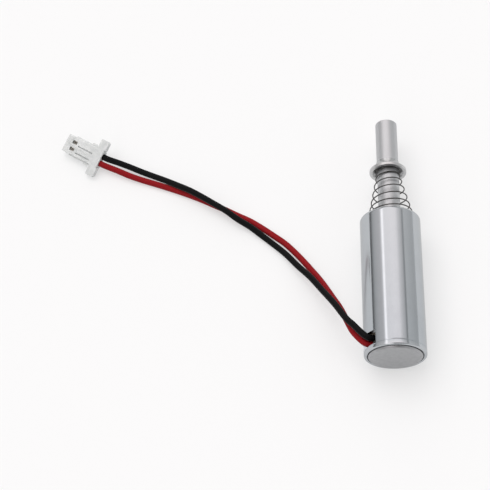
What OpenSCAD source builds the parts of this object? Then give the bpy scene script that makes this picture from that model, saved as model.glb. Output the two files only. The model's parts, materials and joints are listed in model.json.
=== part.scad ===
// Push-pull tubular solenoid with a conical return spring, two leads and a crimp connector.
// Row frame: +Y runs along the plunger, +Z is up, z = 0 is the surface that the part lies on.
// The round pieces are drawn along +Z from the rear rim of the case and laid down by on_axis().

/* [Case] */
// Outer diameter of the case
case_d = 10; // [9.6:0.1:14]
// Length of the case from its rear rim to its front face
case_len = 24.7; // [22:0.1:40]
// Thickness of the case wall
case_wall = 0.7; // [0.6:0.05:0.8]
// Thickness of the case's closed front
front_wall = 0.8; // [0.6:0.05:1.2]
// Radius of the drawn edge at the front
front_round = 0.6; // [0.2:0.05:0.7]
// Radius of the rolled edge at the rear
rear_round = 0.35; // [0.2:0.05:0.35]
// Depth of the line that rolling the lip leaves round the case
roll_line = 0.05; // [0.02:0.01:0.08]

/* [Rear closure] */
// Width of the lip that is rolled in over the end disc
lip_w = 0.5; // [0.5:0.05:0.6]
// Depth of the rolled lip
lip_depth = 0.45; // [0.3:0.05:0.6]
// Thickness of the disc's trapped flange
flange_t = 0.45; // [0.3:0.05:0.6]
// Wall that is left round the disc's seat
seat_wall = 0.3; // [0.25:0.05:0.35]
// Gap between the raised face of the disc and the lip
groove_w = 0.15; // [0.1:0.05:0.3]
// Distance by which the raised face stands behind the rim
disc_proud = 0.3; // [0:0.05:0.4]
// Chamfer round the raised face
disc_chamfer = 0.25; // [0.05:0.05:0.3]
// Thickness of the fibre washer inside the disc
fibre_t = 0.2; // [0.1:0.05:0.3]

/* [Lead window] */
// Distance of the window from the rear rim
window_gap = 0.6; // [0.5:0.05:1]
// Length of the window along the case
window_len = 2.4; // [2.3:0.1:3]
// Edge of the window nearest to the top, in degrees from the top
window_from = 43; // [30:1:45]
// Edge of the window nearest to the surface, in degrees from the top
window_to = 95; // [90:1:110]

/* [Coil] */
// Wall of the brass guide tube
tube_wall = 0.15; // [0.1:0.01:0.25]
// Wall of the bobbin's barrel
barrel_wall = 0.35; // [0.25:0.05:0.5]
// Thickness of each bobbin flange
bobbin_flange = 0.6; // [0.4:0.05:0.8]
// Share of the bobbin's room that the winding fills
winding_fill = 0.75; // [0.5:0.05:0.9]
// Thickness of the tape over the winding
tape_t = 0.08; // [0.05:0.01:0.1]
// Height of the lead chamber between the fibre washer and the bobbin
chamber_len = 2.3; // [2.2:0.1:3]
// Length of the front pole ring
pole_len = 2.3; // [1.8:0.1:3]
// Thickness of the insulating ring behind the pole ring
ring_t = 0.3; // [0.2:0.05:0.5]
// Diameter of the coil's pins
pin_d = 0.4; // [0.3:0.05:0.5]

/* [Plunger] */
// Diameter of the rod outside the case
rod_d = 3.65; // [3.2:0.05:3.9]
// Length of rod beyond the front of the case at rest
rod_out = 18.5; // [15:0.1:25]
// Chamfer round the tip of the rod
tip_chamfer = 0.15; // [0.05:0.05:0.4]
// Diameter of the armature inside the coil
armature_d = 4.6; // [4.4:0.05:4.7]
// Length of the armature behind its shoulder
armature_len = 9.4; // [8:0.1:10]
// Length of the cone on the armature's nose
nose_len = 1.8; // [1:0.1:2.2]
// Travel of the plunger into the coil
stroke = 6; // [4:0.1:6.5]
// Radial clearance of the armature in the guide tube
armature_clear = 0.05; // [0.02:0.01:0.08]
// Radial clearance of the rod in the bushing
rod_clear = 0.03; // [0.02:0.01:0.08]
// Outer diameter of the bushing
bushing_d = 5; // [4.8:0.1:5.2]

/* [Collar and spring] */
// Outer diameter of the collar
collar_d = 6.2; // [5.6:0.1:7]
// Distance of the collar's flat face from the case
collar_gap = 9; // [7.6:0.1:12]
// Thickness of the collar at its rim
collar_rim = 0.5; // [0.3:0.05:0.6]
// Length of the collar from its rim to the end of its hub
collar_len = 2; // [1.6:0.1:2.3]
// Height of the hub above the rod where the two meet
hub_wall = 0.1; // [0.05:0.05:0.5]
// Diameter of the dish that takes the spring's small end
dish_d = 5.2; // [4.6:0.1:5.3]
// Depth of the dish
dish_depth = 0.75; // [0.5:0.05:0.8]
// Diameter of the spring wire
wire_d = 0.2; // [0.18:0.01:0.25]
// Number of turns
turns = 8.4; // [6:0.1:9]
// Clearance between the spring's small end and the rod
spring_clear = 0.03; // [0.02:0.01:0.1]
// Outer diameter of the spring's large end
spring_large_d = 7.8; // [6.5:0.05:8]
// Length of the small end that stays straight before the cone starts
spring_straight = 1.2; // [0.5:0.1:2]
// Angle at which the wire starts under the collar, from the top towards -X
spring_start = 28; // [0:1:359]
// Distance by which the large end sits to one side of the rod
spring_aside = 0.25; // [0:0.05:0.3]
// Slope of the middle turns across the rod
spring_lean = 0.04; // [0:0.01:0.08]

/* [Leads] */
// Diameter of each lead
lead_d = 1.05; // [1:0.01:1.06]

/* [Connector] */
// Distance between the two ways
pitch = 1.25; // [1.2:0.01:1.3]
// Length of the housing from its nose to its rear face
con_len = 7.1; // [7:0.1:8]
// Width of the nose
nose_w = 3.2; // [2.8:0.05:3.3]
// Width of the middle with its guide ribs
neck_w = 3.65; // [3.4:0.05:3.8]
// Width of the shoulders ahead of the wings
shoulder_w = 4.15; // [3.9:0.05:4.4]
// Width over the two wings
wing_w = 6.7; // [5.6:0.1:7]
// Length of the wings along the housing
wing_len = 1.6; // [1:0.05:1.8]
// Thickness of the wings
wing_t = 1.05; // [0.9:0.05:1.2]
// Thickness of the housing
con_t = 1.9; // [1.8:0.05:2.1]
// Width of each contact cavity
cavity_w = 0.9; // [0.85:0.05:0.95]
// Height of each contact cavity
cavity_h = 1.1; // [1:0.05:1.2]

/* [Hidden] */
$fn = 96;

// Clearance between pieces of one body that are slid together
slip = 0.02;
// Length by which a cutter runs past the face that it opens
past = 0.5;
// Facets round the pins and small bores, and sides of the swept wires
small_fn = 32;
wire_sides = 8;
// Steps of each rounded edge in a turned outline
round_steps = 6;

case_r = case_d / 2;
bore_r = case_r - case_wall;
lip_edge = 0.08;
roll_gap = 0.5;
total_len = disc_proud + case_len + rod_out;

// Stations along the axis, from the rear rim
flange_end = lip_depth + flange_t;
fibre_end = flange_end + fibre_t;
bobbin_rear = fibre_end + chamber_len;
front_inner = case_len - front_wall;
pole_rear = front_inner - pole_len;
bobbin_front = pole_rear - ring_t;

// Radii of the guide tube, the barrel and the winding
armature_r = armature_d / 2;
tube_in = armature_r + armature_clear;
tube_out = tube_in + tube_wall;
barrel_in = tube_out + slip;
barrel_out = barrel_in + barrel_wall;
spool_r = bore_r - 2 * slip;
winding_in = barrel_out + slip;
winding_out = winding_in + winding_fill * (spool_r - winding_in);

// Front bushing and the stations that follow it
bush_flange_w = 0.5;
bush_flange_t = 0.4;
bush_sink = 0.3;
bush_rear = pole_rear + bush_sink;
bush_r = bushing_d / 2;
bush_bore = rod_d / 2 + rod_clear;

// Plunger and core
shoulder_gap = 0.1;
shoulder = bush_rear - shoulder_gap;
nose_base = shoulder - armature_len;
nose_tip = nose_base - nose_len;
nose_step = 0.3;
nose_taper = 1;
nose_base_r = armature_r - nose_step;
nose_tip_r = nose_base_r - nose_taper;
shim_t = 0.15;
seat_gap = 0.05;
recess_floor = nose_tip - stroke - seat_gap - shim_t;
recess_clear = 0.1;
core_front = nose_base - stroke - recess_clear;
core_r = tube_in - slip;
spigot_r = 1.2;
spigot_len = 0.4;

// Collar and spring
rod_r = rod_d / 2;
neck_depth = 0.2;
collar_station = case_len + collar_gap;
spring_seat = collar_station + dish_depth;
spring_h = collar_gap + dish_depth - wire_d;
spring_small_r = rod_r + spring_clear + wire_d / 2;
spring_large_r = (spring_large_d - wire_d) / 2;
closed_play = 0.04;
closed_pitch = (1 + closed_play) * wire_d;
closed_share = turns * closed_pitch / spring_h;
steps_per_turn = 20;

// Leads: centre line of each, from its solder joint to the surface beside the connector.
// x is across, y ahead of the rear rim, z above the surface.
BLACK_ROUTE = [
    [-3.3, 2.3, 6.65], [-3.95, 2.3, 6.9], [-4.55, 2.4, 7.1], [-5.15, 2.8, 7.15],
    [-5.95, 3.65, 7.05], [-6.75, 4.7, 6.75], [-7.8, 6, 6.3], [-9.5, 9.25, 4.9],
    [-11.4, 12.4, 3.5], [-13.2, 15.3, 2.3], [-15.2, 17.85, 1.3], [-17.15, 20.3, 0.75],
    [-19.15, 22.2, 0.55], [-21.2, 23.9, 0.6], [-23.2, 25.4, 0.9], [-25.3, 26.6, 1.3],
    [-27.3, 28.05, 1.6], [-29.4, 29.4, 1.65], [-31.5, 30.75, 1.65], [-33.6, 32, 1.6],
    [-35.7, 33.05, 1.45], [-37.8, 34.15, 1.15], [-39.9, 35.1, 0.95], [-41.95, 35.95, 0.95],
    [-44.05, 36.75, 1.2], [-46.1, 37.4, 1.55]];
RED_ROUTE = [
    [-3.65, 1.7, 5.72], [-4.25, 1.7, 5.82], [-4.85, 1.9, 5.88], [-5.4, 2.35, 5.87],
    [-6, 3.05, 5.75], [-6.8, 4.3, 5.45], [-7.7, 6.65, 4.8], [-8.5, 8.85, 4],
    [-9.5, 10.95, 3.2], [-11.3, 14.45, 2.1], [-13.2, 17.45, 1.25], [-15.15, 20.1, 0.75],
    [-17.15, 22.3, 0.55], [-19.15, 23.85, 0.55], [-21.2, 25.35, 0.55], [-23.2, 26.65, 0.55],
    [-25.3, 27.7, 0.55], [-27.3, 28.75, 0.55], [-29.4, 29.75, 0.55], [-31.5, 30.75, 0.55],
    [-33.6, 31.65, 0.55], [-35.7, 32.45, 0.55], [-37.8, 33.2, 0.55], [-39.9, 33.9, 0.55],
    [-42, 34.55, 0.62], [-44.1, 35.25, 0.8], [-46.2, 36.1, 1.05]];

// Solder joints that end the leads, and the coil's pins that run through them
joint_d = 0.85;
joint_len = 0.8;
pin_past = 0.3;

// Connector: the middle of its rear face, placed as the leads are, and the turn of its length
// about +Z. It lies tipped on its lower edge and the tip of one wing.
con_turn = -29.8;
con_tip = atan2(con_t - wing_t, (wing_w - nose_w) / 2);
con_rear = [-49, 37.9, nose_w / 2 * sin(con_tip) + con_t / 2 * cos(con_tip)];
con_mid = con_t / 2;
lead_inset = 1.2;
lead_run = 0.8;
barrel_len = 1;
contact_gap = 0.05;
wing_past = 0.25;
socket_front = 0.5;
socket_len = 2.7;
metal_t = 0.12;
rear_clear = 0.05;
rear_cavity = lead_d + rear_clear;

function unit(v) = v / norm(v);
function con_point(u, w) = con_rear + [u * cos(con_turn) - w * cos(con_tip) * sin(con_turn),
                                       u * sin(con_turn) + w * cos(con_tip) * cos(con_turn),
                                       w * sin(con_tip)];
function lead_path(route, w) = concat(route, [con_point(lead_run, w), con_point(-lead_inset, w)]);
function tangent(path, i) = unit(path[min(i + 1, len(path) - 1)] - path[max(i - 1, 0)]);
function ring(centre, t, r, sides) =
    let (u = unit(cross(t, [0, 0, 1])), v = cross(u, t))
    [for (k = [0:sides - 1]) centre + r * (cos(360 * k / sides) * u + sin(360 * k / sides) * v)];
function smooth(t) = t * t * (3 - 2 * t);
function arc(cx, cy, r, from, to, n) =
    [for (i = [0:n]) [cx + r * cos(from + (to - from) * i / n), cy + r * sin(from + (to - from) * i / n)]];

black_path = lead_path(BLACK_ROUTE, pitch / 2);
red_path = lead_path(RED_ROUTE, -pitch / 2);

// Moves what is placed from the rear rim to the row frame, with its origin under the middle
module from_rear() {
    translate([0, disc_proud - total_len / 2, 0])
        children();
}

// Lays what is drawn along +Z down along +Y; up becomes the drawing's -Y
module on_axis() {
    from_rear()
        translate([0, 0, case_r])
            rotate([-90, 0, 0])
                children();
}

// A wedge from the axis between two angles, measured from the top towards -X
module wedge(from, to, r, z, h) {
    mid = (from + to) / 2;
    translate([0, 0, z])
        linear_extrude(h)
            polygon([[0, 0], [-r * sin(from), -r * cos(from)], [-r * sin(mid), -r * cos(mid)],
                     [-r * sin(to), -r * cos(to)]]);
}

module tube_between(z0, z1, r_in, r_out) {
    translate([0, 0, z0])
        difference() {
            cylinder(h = z1 - z0, r = r_out);
            translate([0, 0, -past])
                cylinder(h = z1 - z0 + 2 * past, r = r_in);
        }
}

// A round bar swept along a path of points
module sweep(path, d, sides) {
    n = len(path);
    points = [for (i = [0:n - 1]) each ring(path[i], tangent(path, i), d / 2, sides)];
    walls = [for (i = [0:n - 2]) for (k = [0:sides - 1])
        let (a = i * sides + k, b = i * sides + (k + 1) % sides) [a, a + sides, b + sides, b]];
    first_cap = [for (k = [0:sides - 1]) k];
    last_cap = [for (k = [0:sides - 1]) n * sides - 1 - k];
    polyhedron(points = points, faces = concat(walls, [first_cap], [last_cap]), convexity = 8);
}

// Deep-drawn steel can: a true round wall, a drawn front edge, a lip rolled in over the end disc
module case() {
    lip_r = case_r - lip_w;
    seat_r = case_r - seat_wall;
    line_at = rear_round + roll_gap;
    outline = concat(
        [[lip_r, lip_edge], [lip_r + lip_edge, 0]],
        arc(case_r - rear_round, rear_round, rear_round, -90, 0, round_steps),
        [[case_r, line_at - roll_line], [case_r - roll_line, line_at], [case_r, line_at + roll_line]],
        arc(case_r - front_round, case_len - front_round, front_round, 0, 90, round_steps),
        [[bush_r + slip, case_len], [bush_r + slip, front_inner], [bore_r, front_inner],
         [bore_r, flange_end], [seat_r, flange_end], [seat_r, lip_depth], [lip_r, lip_depth]]);
    color("silver")
        on_axis()
            difference() {
                rotate_extrude()
                    polygon(outline);
                wedge(window_from, window_to, case_d, window_gap, window_len);
            }
}

// Steel end disc: a flange that the lip holds, a raised face behind the rim, a centre mark
module end_disc() {
    face_r = case_r - lip_w - groove_w;
    flange_r = case_r - seat_wall - slip;
    mark_r = 0.12;
    outline = [[0, mark_r - disc_proud], [mark_r, -disc_proud],
               [face_r - disc_chamfer, -disc_proud], [face_r, disc_chamfer - disc_proud],
               [face_r, lip_depth + slip], [flange_r, lip_depth + slip], [flange_r, flange_end],
               [spigot_r, flange_end], [spigot_r, flange_end - spigot_len],
               [0, flange_end - spigot_len]];
    color("darkgray")
        on_axis()
            rotate_extrude()
                polygon(outline);
}

// Fibre washer that keeps the solder joints off the end disc
module fibre_washer() {
    color("saddlebrown")
        on_axis()
            tube_between(flange_end, fibre_end, core_r + slip, spool_r);
}

// Steel core: pressed into the end disc, with a conical seat for the armature's nose
module fixed_core() {
    floor_r = nose_tip_r + recess_clear;
    rim_r = nose_base_r + recess_clear;
    outline = [[0, flange_end - spigot_len], [spigot_r, flange_end - spigot_len],
               [spigot_r, flange_end], [core_r, flange_end], [core_r, core_front],
               [rim_r, core_front], [floor_r, recess_floor], [0, recess_floor]];
    color("lightslategray")
        on_axis()
            rotate_extrude()
                polygon(outline);
}

// Thin brass shim that keeps the armature from sticking to the core
module residual_shim() {
    color("goldenrod")
        on_axis()
            translate([0, 0, recess_floor])
                cylinder(h = shim_t, r = nose_tip_r + recess_clear - slip);
}

// Moulded bobbin: barrel, two flanges, three feet that stand on the fibre washer, two pin sockets
module bobbin() {
    foot_angles = [165, 250, 335];
    foot_spread = 15;
    color("ivory")
        on_axis()
            difference() {
                union() {
                    tube_between(bobbin_rear, bobbin_front, barrel_in, barrel_out);
                    tube_between(bobbin_rear, bobbin_rear + bobbin_flange, barrel_in, spool_r);
                    tube_between(bobbin_front - bobbin_flange, bobbin_front, barrel_in, spool_r);
                    intersection() {
                        tube_between(fibre_end, bobbin_rear + bobbin_flange / 2, barrel_out, spool_r);
                        union()
                            for (a = foot_angles)
                                wedge(a - foot_spread, a + foot_spread, case_r, fibre_end,
                                      chamber_len + past);
                    }
                }
                for (path = [black_path, red_path])
                    pin_at(path, pin_d + slip);
            }
}

// Copper winding between the flanges
module coil_winding() {
    color("chocolate")
        on_axis()
            tube_between(bobbin_rear + bobbin_flange, bobbin_front - bobbin_flange,
                         winding_in, winding_out);
}

// Polyester tape round the winding
module winding_tape() {
    color("gold")
        on_axis()
            tube_between(bobbin_rear + bobbin_flange, bobbin_front - bobbin_flange,
                         winding_out + slip / 2, winding_out + slip / 2 + tape_t);
}

// Brass tube that guides the armature and centres the core
module guide_tube() {
    color("goldenrod")
        on_axis()
            tube_between(bobbin_rear, bush_rear, tube_in, tube_out);
}

// Insulating ring between the bobbin and the pole ring
module insulating_ring() {
    color("saddlebrown")
        on_axis()
            tube_between(bobbin_front, pole_rear, barrel_in, spool_r);
}

// Steel ring that carries the flux to the armature, counterbored for the bushing's flange
module front_pole_ring() {
    sink_r = bush_r + bush_flange_w + slip;
    sink_end = bush_rear + bush_flange_t;
    outline = [[sink_r, pole_rear], [bore_r - slip, pole_rear], [bore_r - slip, front_inner],
               [bush_r + slip, front_inner], [bush_r + slip, sink_end], [sink_r, sink_end]];
    color("slategray")
        on_axis()
            rotate_extrude()
                polygon(outline);
}

// Bronze bushing that carries the rod, flush with the case's front
module front_bushing() {
    color("peru")
        on_axis()
            difference() {
                union() {
                    translate([0, 0, bush_rear])
                        cylinder(h = bush_flange_t, r = bush_r + bush_flange_w);
                    translate([0, 0, bush_rear])
                        cylinder(h = case_len - bush_rear, r = bush_r);
                }
                translate([0, 0, bush_rear - past])
                    cylinder(h = case_len - bush_rear + 2 * past, r = bush_bore);
            }
}

// A coil pin at a lead's joint, drawn on the axis, from just past the lead into the bobbin's flange
module pin_at(path, d) {
    seat = path[0] + unit(path[0] - path[1]) * joint_len / 2;
    tip = seat[1] - pin_past;
    translate([seat[0], case_r - seat[2], tip])
        cylinder(h = bobbin_rear + bobbin_flange - tip, d = d, $fn = small_fn);
}

// Two tinned pins moulded into the bobbin
module coil_pins() {
    color("silver")
        on_axis()
            for (path = [black_path, red_path])
                pin_at(path, pin_d);
}

// A solder joint round a pin, facing the end of its lead
module joint_at(path) {
    d = unit(path[0] - path[1]);
    translate(path[0])
        rotate([0, acos(d[2]), atan2(d[1], d[0])])
            cylinder(h = joint_len, d = joint_d, $fn = small_fn);
}

module solder_joints() {
    color("lightgray")
        difference() {
            from_rear()
                for (path = [black_path, red_path])
                    joint_at(path);
            on_axis()
                for (path = [black_path, red_path])
                    pin_at(path, pin_d + slip);
        }
}

// Plunger in one piece: armature with its conical nose, a shoulder, and the rod with a neck
// under the collar
module plunger() {
    neck_r = rod_r - neck_depth;
    rod_tip = total_len;
    nose_edge = 0.1;
    shoulder_edge = 0.2;
    outline = [[0, nose_tip], [nose_tip_r, nose_tip], [nose_base_r, nose_base],
               [armature_r - nose_edge, nose_base], [armature_r, nose_base + nose_edge],
               [armature_r, shoulder - shoulder_edge], [armature_r - shoulder_edge, shoulder],
               [rod_r, shoulder],
               [rod_r, spring_seat], [neck_r, spring_seat],
               [neck_r, collar_station + collar_len], [rod_r, collar_station + collar_len],
               [rod_r, rod_tip - tip_chamfer], [rod_r - tip_chamfer, rod_tip], [0, rod_tip]];
    color("lightsteelblue")
        on_axis()
            rotate_extrude()
                polygon(outline);
}

// Collar pressed into the neck: a dish over the spring's end, a thin rim, and a flare up to the hub
module collar() {
    seat_r = rod_r - neck_depth;
    rim_r = collar_d / 2;
    hub_r = rod_r + hub_wall;
    floor_r = spring_small_r + wire_d / 2 + slip;
    edge = 0.05;
    flare_h = collar_len - collar_rim;
    flare_w = rim_r - hub_r;
    flare = [for (i = [0:round_steps]) let (a = 90 * i / round_steps)
        [rim_r - flare_w * sin(a), collar_rim + flare_h * (1 - cos(a))]];
    outline = concat(
        [[seat_r, dish_depth], [floor_r, dish_depth], [dish_d / 2, 0], [rim_r - edge, 0],
         [rim_r, edge]],
        flare, [[seat_r, collar_len]]);
    color("gainsboro")
        on_axis()
            translate([0, 0, collar_station])
                rotate_extrude()
                    polygon(outline);
}

// Conical return spring: closed turns at both ends, small end in the collar's dish
function spring_z(t) = spring_h * (closed_share * t + (1 - closed_share) * smooth(t));
function spring_r(z) = let (rise = (spring_large_r - spring_small_r) / (spring_h - spring_straight))
    max(spring_small_r, spring_large_r - rise * (spring_h - z));

module return_spring() {
    steps = round(turns * steps_per_turn);
    path = [for (i = [0:steps])
        let (t = i / steps, z = spring_z(t), r = spring_r(z), a = spring_start + 360 * turns * t)
        [spring_aside * pow(z / spring_h, 2) - r * sin(a), -r * cos(a),
         spring_seat - wire_d / 2 - z - spring_lean * r * sin(a) * sin(180 * z / spring_h)]];
    color("dimgray")
        on_axis()
            sweep(path, wire_d, wire_sides);
}

module lead_black() {
    color([0.08, 0.08, 0.09])
        from_rear()
            sweep(black_path, lead_d, wire_sides);
}

module lead_red() {
    color([0.6, 0.08, 0.1])
        from_rear()
            sweep(red_path, lead_d, wire_sides);
}

// Puts what is drawn from the connector's nose along +X in its place on the surface
module at_connector() {
    from_rear()
        translate(con_rear)
            rotate([con_tip, 0, con_turn])
                translate([-con_len, 0, -con_mid])
                    children();
}

// Nylon housing: nose, guide ribs, shoulders, wings, two cavities, lance windows and top grooves
module connector_housing() {
    rib_x = 1.4;
    shoulder_x = 4.5;
    rib_z = 0.3;
    rib_t = con_t - 2 * rib_z;
    barrel_room = 0.15;
    rear_room = lead_inset + barrel_len + barrel_room;
    bevel = 0.15;
    slot_w = 0.2;
    slot_deep = 0.25;
    slot_x = 2.5;
    slot_len = 2.9;
    slot_off = 0.37;
    look_x = 1.2;
    look_w = 0.6;
    look_len = 0.9;
    color([0.93, 0.93, 0.95])
        at_connector()
            difference() {
                union() {
                    nose_block(con_len, nose_w, con_t, bevel);
                    rib(rib_x, neck_w, rib_z, rib_t);
                    rib(shoulder_x, shoulder_w, rib_z, rib_t);
                    wings();
                }
                for (w = [-pitch / 2, pitch / 2])
                    translate([0, w, con_mid]) {
                        translate([-past, -cavity_w / 2, -cavity_h / 2])
                            cube([con_len, cavity_w, cavity_h]);
                        translate([con_len - rear_room, 0, 0])
                            rotate([0, 90, 0])
                                cylinder(h = rear_room + past, d = rear_cavity, $fn = small_fn);
                        translate([look_x, -look_w / 2, 0])
                            cube([look_len, look_w, con_t]);
                        translate([slot_x, -slot_off - slot_w / 2, con_mid - slot_deep])
                            cube([slot_len, slot_w, con_t]);
                    }
            }
}

// Block from the nose backwards with a bevelled front edge
module nose_block(l, w, t, bevel) {
    translate([0, w / 2, 0])
        rotate([90, 0, 0])
            linear_extrude(w)
                polygon([[0, bevel], [bevel, 0], [l, 0], [l, t], [bevel, t], [0, t - bevel]]);
}

// A rib along both sides of the block, with a bevelled front, that runs into the wings
module rib(x, w, z, t) {
    lead_in = 0.15;
    l = con_len - x - wing_len / 2;
    translate([x, 0, z])
        linear_extrude(t)
            polygon([[0, lead_in - w / 2], [lead_in, -w / 2], [l, -w / 2], [l, w / 2],
                     [lead_in, w / 2], [0, w / 2 - lead_in]]);
}

// The two wings as one bar, flush with the top, that reaches past the rear face at both sides
module wings() {
    corner = 0.3;
    edge = 0.1;
    half = wing_w / 2;
    inner = (nose_w + edge) / 2;
    rear = con_len + wing_past;
    front = rear - wing_len;
    translate([0, 0, con_t - wing_t])
        linear_extrude(wing_t)
            polygon([[front, -half + edge], [front + edge, -half], [rear - corner, -half],
                     [rear, -half + corner], [rear, -inner], [con_len, -inner], [con_len, inner],
                     [rear, inner], [rear, half - corner], [rear - corner, half],
                     [front + edge, half], [front, half - edge]]);
}

// Crimp contact: a box socket, a raised lance, a strap, and the barrel on the end of the lead
module terminal(w) {
    socket_w = cavity_w - 2 * contact_gap;
    socket_h = cavity_h - 2 * contact_gap;
    barrel_x = con_len - lead_inset - barrel_len;
    strap_x = socket_front + socket_len;
    lance_x = 1.4;
    lance_len = 0.6;
    lance_w = 0.4;
    lance_rise = 0.3;
    at_connector()
        translate([0, w, con_mid]) {
            difference() {
                translate([socket_front, -socket_w / 2, -socket_h / 2])
                    cube([socket_len, socket_w, socket_h]);
                translate([socket_front - past, -socket_w / 2 + metal_t, -socket_h / 2 + metal_t])
                    cube([socket_len, socket_w - 2 * metal_t, socket_h - 2 * metal_t]);
            }
            translate([lance_x, lance_w / 2, socket_h / 2])
                rotate([90, 0, 0])
                    linear_extrude(lance_w)
                        polygon([[0, 0], [lance_len, 0], [lance_len, lance_rise]]);
            translate([strap_x, -socket_w / 2 + metal_t, -socket_h / 2])
                cube([barrel_x - strap_x, socket_w - 2 * metal_t, 3 * metal_t]);
            translate([barrel_x, 0, 0])
                rotate([0, 90, 0])
                    cylinder(h = barrel_len, d = lead_d, $fn = small_fn);
        }
}

module terminal_black() {
    color("goldenrod")
        terminal(pitch / 2);
}

module terminal_red() {
    color("goldenrod")
        terminal(-pitch / 2);
}

case();
end_disc();
fibre_washer();
fixed_core();
residual_shim();
bobbin();
coil_winding();
winding_tape();
guide_tube();
insulating_ring();
front_pole_ring();
front_bushing();
coil_pins();
solder_joints();
plunger();
collar();
return_spring();
lead_black();
lead_red();
connector_housing();
terminal_black();
terminal_red();
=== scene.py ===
"""Looks of a push-pull tubular solenoid: can, plunger, collar, conical spring, leads and plug.

Lengths are in metres in the row frame: +Y runs along the plunger, +Z is up, and the part lies on
z = 0. A station is a distance along the axis from the rear rim of the case.
"""

import json
import logging
import math
from dataclasses import dataclass
from enum import Enum
from typing import Callable, Mapping, Sequence

import bmesh
import bpy
from mathutils import Matrix, Vector


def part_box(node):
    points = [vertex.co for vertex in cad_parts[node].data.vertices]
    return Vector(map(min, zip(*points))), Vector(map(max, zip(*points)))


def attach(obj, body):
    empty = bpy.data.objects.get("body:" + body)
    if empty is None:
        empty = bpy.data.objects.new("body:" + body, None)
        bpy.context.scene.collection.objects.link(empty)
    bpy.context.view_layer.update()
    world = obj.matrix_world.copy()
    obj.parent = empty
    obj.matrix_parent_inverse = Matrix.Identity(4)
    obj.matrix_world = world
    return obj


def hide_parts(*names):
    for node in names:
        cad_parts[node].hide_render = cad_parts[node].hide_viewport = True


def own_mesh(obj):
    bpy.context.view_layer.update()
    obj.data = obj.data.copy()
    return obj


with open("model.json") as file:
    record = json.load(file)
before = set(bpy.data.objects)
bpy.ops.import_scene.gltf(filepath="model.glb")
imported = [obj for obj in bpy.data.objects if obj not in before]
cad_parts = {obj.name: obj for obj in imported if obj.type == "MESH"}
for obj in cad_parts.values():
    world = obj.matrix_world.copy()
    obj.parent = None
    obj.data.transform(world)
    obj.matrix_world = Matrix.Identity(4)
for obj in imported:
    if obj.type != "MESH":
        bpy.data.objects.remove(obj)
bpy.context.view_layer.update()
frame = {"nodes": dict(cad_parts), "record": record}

MM = 0.001
LOG = logging.getLogger("solenoid")

# Edge radii of turned pieces: an edge that another piece covers, a turned edge, a broken edge
CRISP = 0.02 * MM
EDGE = 0.04 * MM
SOFT = 0.08 * MM

# Faces round a turned piece, and the most that a rounded corner takes of a side
TURN_FACES = 160
SIDE_SHARE = 0.48

# Marks per millimetre along x, y and z: a metal's dulled patches, its pits and its unevenness
PATCHES = (0.55, 0.4, 0.55)
PITS = (9.0, 9.0, 9.0)
UNEVEN = (0.22, 0.1, 0.22)

Color = tuple[float, float, float]
Corner = tuple[float, float, float]
Point = tuple[float, float, float]
Socket = bpy.types.NodeSocket


class Body(Enum):
    """The two bodies that move against each other."""

    STATOR = "stator"
    ARMATURE = "armature"


class Slot(Enum):
    """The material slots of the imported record."""

    PLATED_STEEL = "plated_steel"
    TURNED_STEEL = "turned_steel"
    GROUND_STEEL = "ground_steel"
    SPRING_WIRE = "spring_wire"
    BRONZE = "bronze"
    BRASS = "brass"
    COPPER = "enamelled_copper"
    TAPE = "tape"
    BOBBIN = "bobbin_plastic"
    FIBRE = "fibre"
    TINNED_PIN = "tinned_pin"
    SOLDER = "solder"
    LEAD_BLACK = "lead_black"
    LEAD_RED = "lead_red"
    NYLON = "nylon"
    CONTACT = "contact_metal"


class Grain(Enum):
    """How the fine marks of a metal run, as marks per millimetre along x, y and z."""

    DRAWN = (7.0, 0.12, 7.0)
    TURNED = (0.35, 16.0, 0.35)
    EVEN = (5.0, 5.0, 5.0)
    FINE = (14.0, 14.0, 14.0)


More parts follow.
